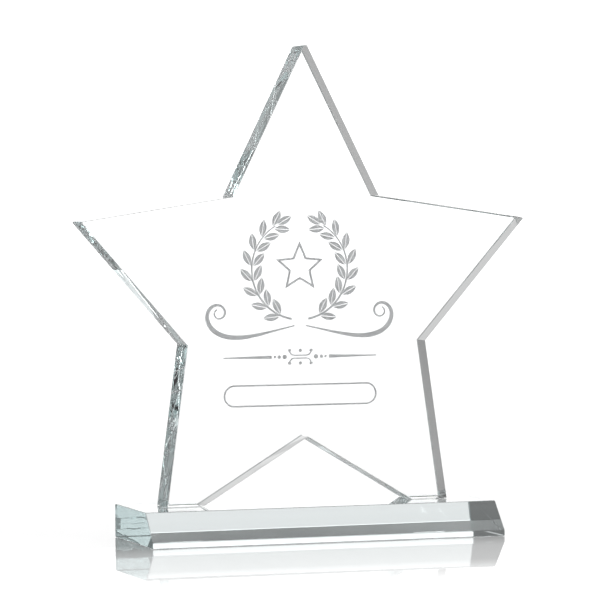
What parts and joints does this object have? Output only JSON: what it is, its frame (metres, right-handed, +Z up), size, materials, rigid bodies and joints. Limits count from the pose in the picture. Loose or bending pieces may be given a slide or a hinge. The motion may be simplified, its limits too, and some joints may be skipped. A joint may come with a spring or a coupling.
{
  "type": "star trophy",
  "caption": "Clear glass star award plate with an engraved laurel wreath and blank name panel, glued upright on a bevelled glass base.",
  "frame": {"origin": "middle of the underside of the base plate, on the table", "axes": "+X to the viewer's right, +Y to the back, +Z up; the engraving is read from the front, looking along +Y"},
  "size_m": [0.2292, 0.0688, 0.2428],
  "materials": {
    "star_glass": "clear polished low-iron glass with polished edges",
    "base_glass": "clear polished glass, faintly blue-green through its length",
    "clear_adhesive": "cured clear adhesive film",
    "etched_glass": "frosted grey, sand-etched"
  },
  "bodies": {
    "root": {"star_plate": "star_glass", "base_plate": "base_glass", "left_foot_bond": "clear_adhesive", "right_foot_bond": "clear_adhesive"}
  },
  "joints": []
}
